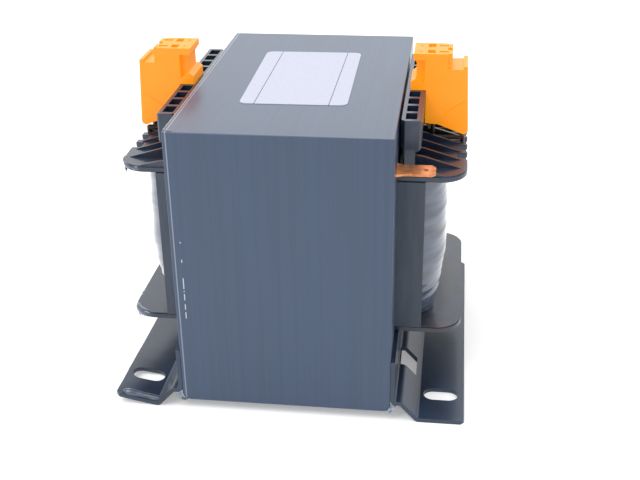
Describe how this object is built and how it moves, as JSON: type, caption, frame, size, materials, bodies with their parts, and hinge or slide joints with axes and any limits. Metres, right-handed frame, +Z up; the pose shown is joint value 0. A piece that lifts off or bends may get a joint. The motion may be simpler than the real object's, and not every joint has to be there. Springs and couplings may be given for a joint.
{
  "type": "chassis_transformer",
  "caption": "Varnished laminated chassis transformer with slotted foot brackets, pocketed terminal rails and orange clamp terminals",
  "frame": {"origin": "Centre of the four mounting slots, on the underside of the feet", "axes": "X runs through the lamination stack from the secondary to the primary terminals, Y across the three limbs, Z up from the mounting surface"},
  "size_m": [0.124, 0.12, 0.1153],
  "materials": {
    "lacquered_core": "semi_gloss",
    "bobbin_plastic": "gloss",
    "winding_wire": "enamelled",
    "insulation_film": "satin",
    "coil_wrap": "varnished",
    "liner_board": "varnished",
    "lacquered_sheet": "gloss",
    "weld_metal": "varnished",
    "orange_plastic": "satin",
    "spring_steel": "satin",
    "contact_brass": "satin",
    "earth_copper": "satin",
    "label_film": "satin"
  },
  "bodies": {
    "root": {"e_laminations": "lacquered_core", "i_laminations": "lacquered_core", "bobbin": "bobbin_plastic", "primary_winding": "winding_wire", "secondary_winding": "winding_wire", "interwinding_insulation": "insulation_film", "outer_wrap": "coil_wrap", "front_window_liner": "liner_board", "rear_window_liner": "liner_board", "left_foot_bracket": "lacquered_sheet", "right_foot_bracket": "lacquered_sheet", "weld_fillets": "weld_metal", "primary_terminal_housing": "orange_plastic", "secondary_terminal_housing": "orange_plastic", "primary_clamp_springs": "spring_steel", "secondary_clamp_springs": "spring_steel", "primary_contact_bars": "contact_brass", "secondary_contact_bars": "contact_brass", "primary_lead_wires": "winding_wire", "secondary_lead_wires": "winding_wire", "earth_tab": "earth_copper", "rating_label": "label_film"}
  },
  "joints": []
}
